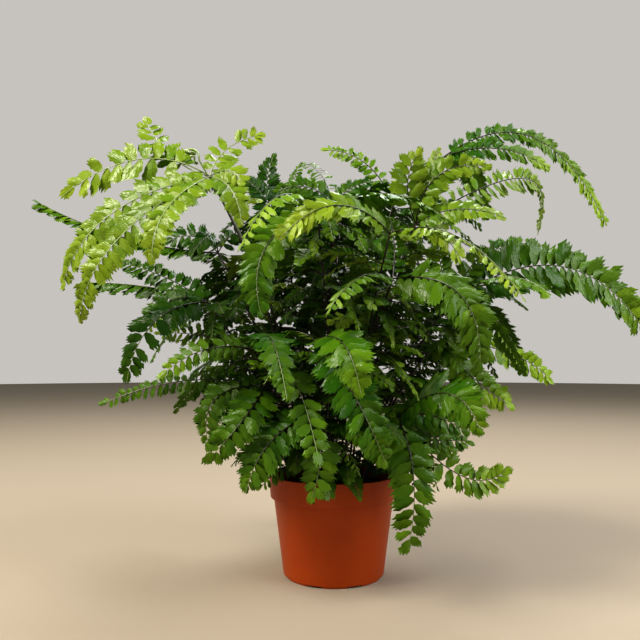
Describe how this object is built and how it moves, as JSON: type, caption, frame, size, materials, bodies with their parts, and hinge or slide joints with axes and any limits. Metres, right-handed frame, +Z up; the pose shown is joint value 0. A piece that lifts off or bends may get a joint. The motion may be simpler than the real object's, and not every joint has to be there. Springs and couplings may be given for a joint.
{
  "type": "potted maidenhair fern",
  "caption": "Leafy fern with forked wiry stalks and rows of small toothed leaflets, rooted in a round tapered plastic nursery pot.",
  "frame": {"origin": "centre of the pot's foot, on the surface that the pot stands on, below the middle of the plant's spread", "axes": "+Z up along the pot's axis; the plant's front, as pictured, faces -Y, and its widest spread runs along X"},
  "size_m": [0.5594, 0.381, 0.4369],
  "materials": {
    "pot_plastic": "satin",
    "potting_soil": "matte",
    "stalk": "satin",
    "leaf_young": "satin",
    "leaf_fresh": "satin",
    "leaf_mature": "satin",
    "leaf_dark": "satin"
  },
  "bodies": {
    "root": {"blade_back_left": "leaf_mature", "blade_back_low": "leaf_dark", "blade_back_low_left": "leaf_mature", "blade_back_low_right": "leaf_mature", "blade_back_middle": "leaf_mature", "blade_back_right": "leaf_mature", "blade_back_top": "leaf_fresh", "blade_far_left": "leaf_dark", "blade_front_centre": "leaf_fresh", "blade_front_left_low": "leaf_mature", "blade_front_right": "leaf_mature", "blade_left_dark": "leaf_dark", "blade_left_low": "leaf_mature", "blade_left_middle": "leaf_mature", "blade_right_big": "leaf_mature", "blade_right_low": "leaf_fresh", "blade_right_middle": "leaf_fresh", "blade_right_top": "leaf_young", "blade_top_centre": "leaf_fresh", "blade_top_front": "leaf_fresh", "blade_top_front_right": "leaf_young", "blade_top_left_back": "leaf_dark", "blade_top_middle": "leaf_mature", "blade_top_right_back": "leaf_fresh", "blade_upper_left": "leaf_young", "fiddlehead": "stalk", "pot": "pot_plastic", "soil": "potting_soil", "stalk_back_left": "stalk", "stalk_back_low": "stalk", "stalk_back_low_left": "stalk", "stalk_back_low_right": "stalk", "stalk_back_middle": "stalk", "stalk_back_right": "stalk", "stalk_back_top": "stalk", "stalk_far_left": "stalk", "stalk_front_centre": "stalk", "stalk_front_left_low": "stalk", "stalk_front_right": "stalk", "stalk_left_dark": "stalk", "stalk_left_low": "stalk", "stalk_left_middle": "stalk", "stalk_right_big": "stalk", "stalk_right_low": "stalk", "stalk_right_middle": "stalk", "stalk_right_top": "stalk", "stalk_top_centre": "stalk", "stalk_top_front": "stalk", "stalk_top_front_right": "stalk", "stalk_top_left_back": "stalk", "stalk_top_middle": "stalk", "stalk_top_right_back": "stalk", "stalk_upper_left": "stalk"}
  },
  "joints": []
}
